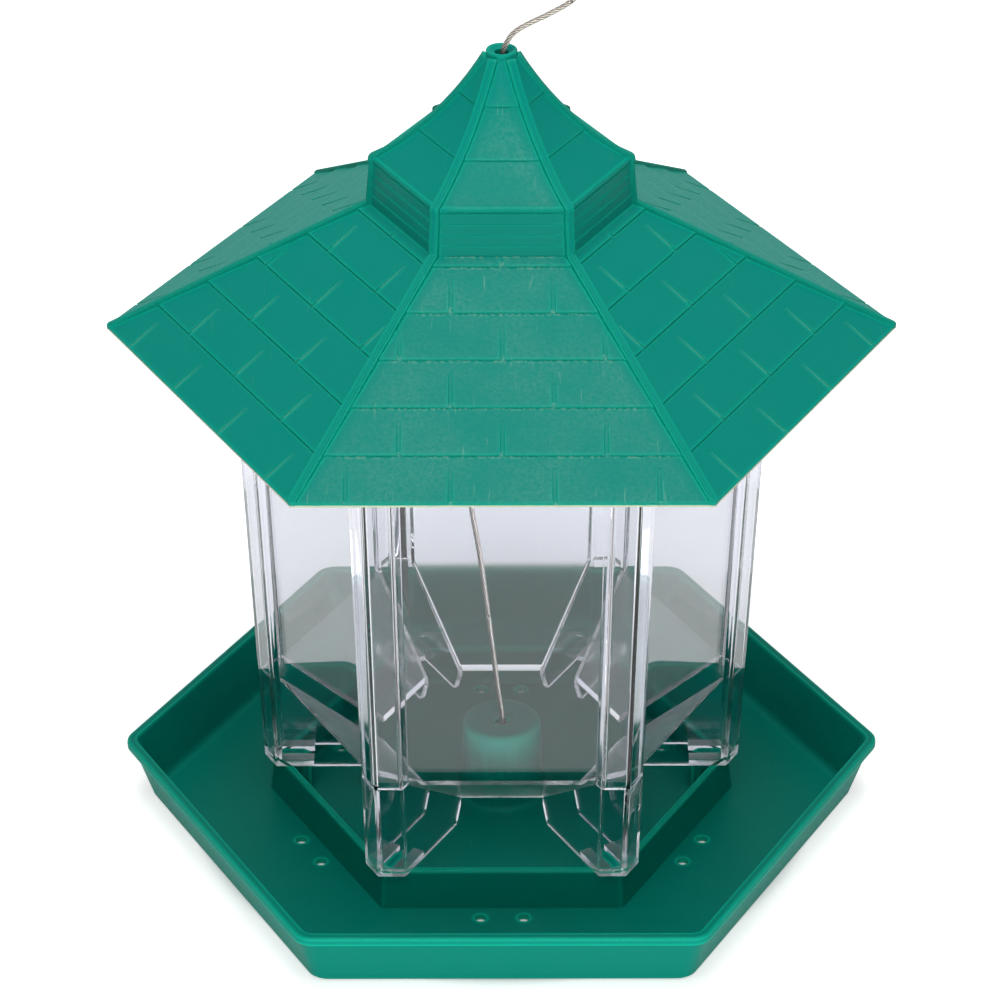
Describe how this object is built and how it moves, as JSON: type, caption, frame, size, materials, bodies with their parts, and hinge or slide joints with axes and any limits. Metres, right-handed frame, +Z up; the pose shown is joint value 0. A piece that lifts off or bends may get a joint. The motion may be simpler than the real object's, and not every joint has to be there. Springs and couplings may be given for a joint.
{
  "type": "hanging bird feeder",
  "caption": "Six-sided gazebo bird feeder: shingled roof over a clear seed hopper on a rimmed tray, hung by a wire rope.",
  "frame": {"origin": "centre of the tray's flat base", "axes": "+Z up the rope, -Y to a flat front side, +X through a corner"},
  "size_m": [0.228, 0.1992, 0.3227],
  "materials": {
    "roof_green": "fine matte moulded plastic with faint scuffs",
    "clear_plastic": "clear polished moulded plastic",
    "tray_green": "satin moulded plastic",
    "steel": "bright twisted steel strands"
  },
  "bodies": {
    "tray": {"tray": "tray_green", "wire_inside": "steel", "wire_above": "steel", "wire_loop": "steel", "loop_ferrule": "steel", "end_ferrule": "steel", "stop_washer": "steel"},
    "hopper": {"hopper": "clear_plastic"},
    "roof": {"roof": "roof_green"}
  },
  "joints": [
    {"name": "hopper_lift", "type": "slide", "parent": "tray", "child": "hopper", "axis": [0, 0, 1], "range_m": [0, 0.015], "deforming": ["wire_above"]},
    {"name": "roof_lift", "type": "slide", "parent": "hopper", "child": "roof", "axis": [0, 0, 1], "range_m": [0, 0.03], "deforming": ["wire_above"]}
  ]
}
